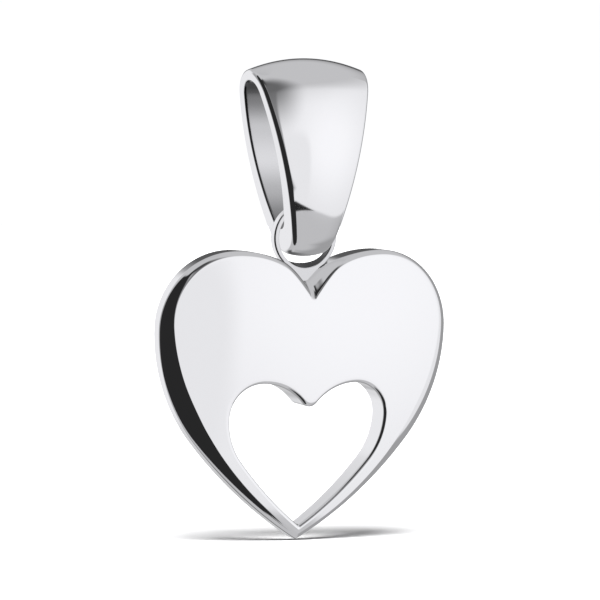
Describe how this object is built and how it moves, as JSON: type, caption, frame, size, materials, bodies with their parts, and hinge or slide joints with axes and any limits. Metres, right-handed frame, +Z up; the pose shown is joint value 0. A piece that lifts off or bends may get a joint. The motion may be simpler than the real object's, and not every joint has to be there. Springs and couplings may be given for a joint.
{
  "type": "heart pendant",
  "caption": "Polished domed heart with a smaller heart-shaped opening, hanging by a loop in its cleft from a tapered, crowned bail for a chain.",
  "frame": {"origin": "top of the bail's tunnel at mid width, where the chain carries the pendant", "axes": "+X along the tunnel, -Y towards the heart's domed front, +Z up"},
  "size_m": [0.012, 0.0038, 0.0186],
  "materials": {
    "polished_silver": "mirror polished rhodium-plated silver"
  },
  "bodies": {
    "bail": {"bail": "polished_silver"},
    "heart": {"heart": "polished_silver"}
  },
  "joints": [
    {"name": "heart_swing", "type": "hinge", "parent": "bail", "child": "heart", "pos_m": [0, 0, -0.00565], "axis": [1, 0, 0], "range_deg": [-18, 18]}
  ]
}
